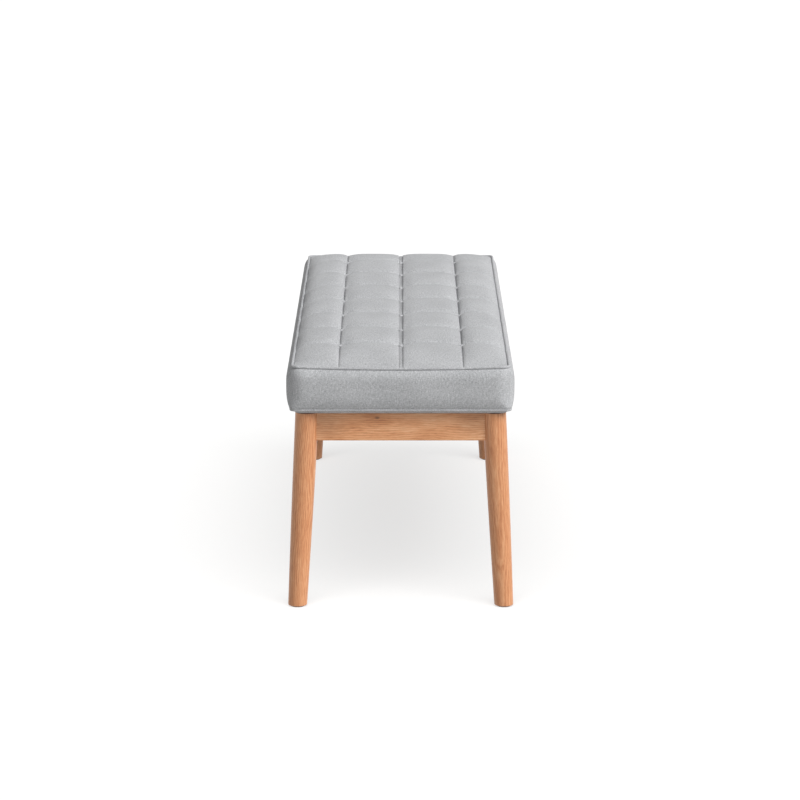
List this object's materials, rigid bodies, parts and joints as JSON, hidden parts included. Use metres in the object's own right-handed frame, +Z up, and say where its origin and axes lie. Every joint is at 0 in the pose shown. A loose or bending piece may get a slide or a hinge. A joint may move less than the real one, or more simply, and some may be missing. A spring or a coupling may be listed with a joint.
{
  "type": "upholstered bench",
  "caption": "Long low bench: a tufted, piped box cushion in grey cloth on a hardwood frame with round tapered legs that splay outwards.",
  "frame": {"origin": "on the floor, under the middle of the seat", "axes": "+X along the bench to its right end, +Y across the seat to its rear side, +Z up"},
  "size_m": [1.2702, 0.4102, 0.4684],
  "materials": {
    "cover_fabric": "woven in light and mid grey yarns, matt",
    "fibre": "bonded polyester fibre, loose and matt",
    "backing": "plain unbleached cloth",
    "foam": "open-cell seat foam",
    "twine": "waxed and twisted",
    "plywood": "sanded, unfinished",
    "non_woven": "black spun non-woven cloth",
    "hardwood": "stained reddish light brown, thin satin lacquer",
    "inner_wood": "planed, unfinished",
    "zinc_steel": "zinc plated",
    "nylon": "moulded"
  },
  "bodies": {
    "root": {"top_strip_1": "cover_fabric", "top_strip_2": "cover_fabric", "top_strip_3": "cover_fabric", "top_strip_4": "cover_fabric", "side_band_front": "cover_fabric", "side_band_rear": "cover_fabric", "end_band_left": "cover_fabric", "end_band_right": "cover_fabric", "piping_top": "cover_fabric", "piping_bottom": "cover_fabric", "cover_turn_in": "cover_fabric", "tuft_buttons": "cover_fabric", "fibre_topper": "fibre", "backing_cloth": "backing", "foam_core": "foam", "tuft_twines": "twine", "seat_deck": "plywood", "dust_cover": "non_woven", "leg_front_left": "hardwood", "leg_front_right": "hardwood", "leg_rear_left": "hardwood", "leg_rear_right": "hardwood", "end_rail_left": "hardwood", "end_rail_right": "hardwood", "long_rail_front": "hardwood", "long_rail_rear": "hardwood", "corner_block_front_left": "inner_wood", "corner_block_front_right": "inner_wood", "corner_block_rear_left": "inner_wood", "corner_block_rear_right": "inner_wood", "cross_brace_left": "inner_wood", "cross_brace_right": "inner_wood", "hanger_bolts": "zinc_steel", "hanger_washers": "zinc_steel", "hanger_nuts": "zinc_steel", "block_screws": "zinc_steel", "seat_screws": "zinc_steel", "foot_glides": "nylon"}
  },
  "joints": []
}
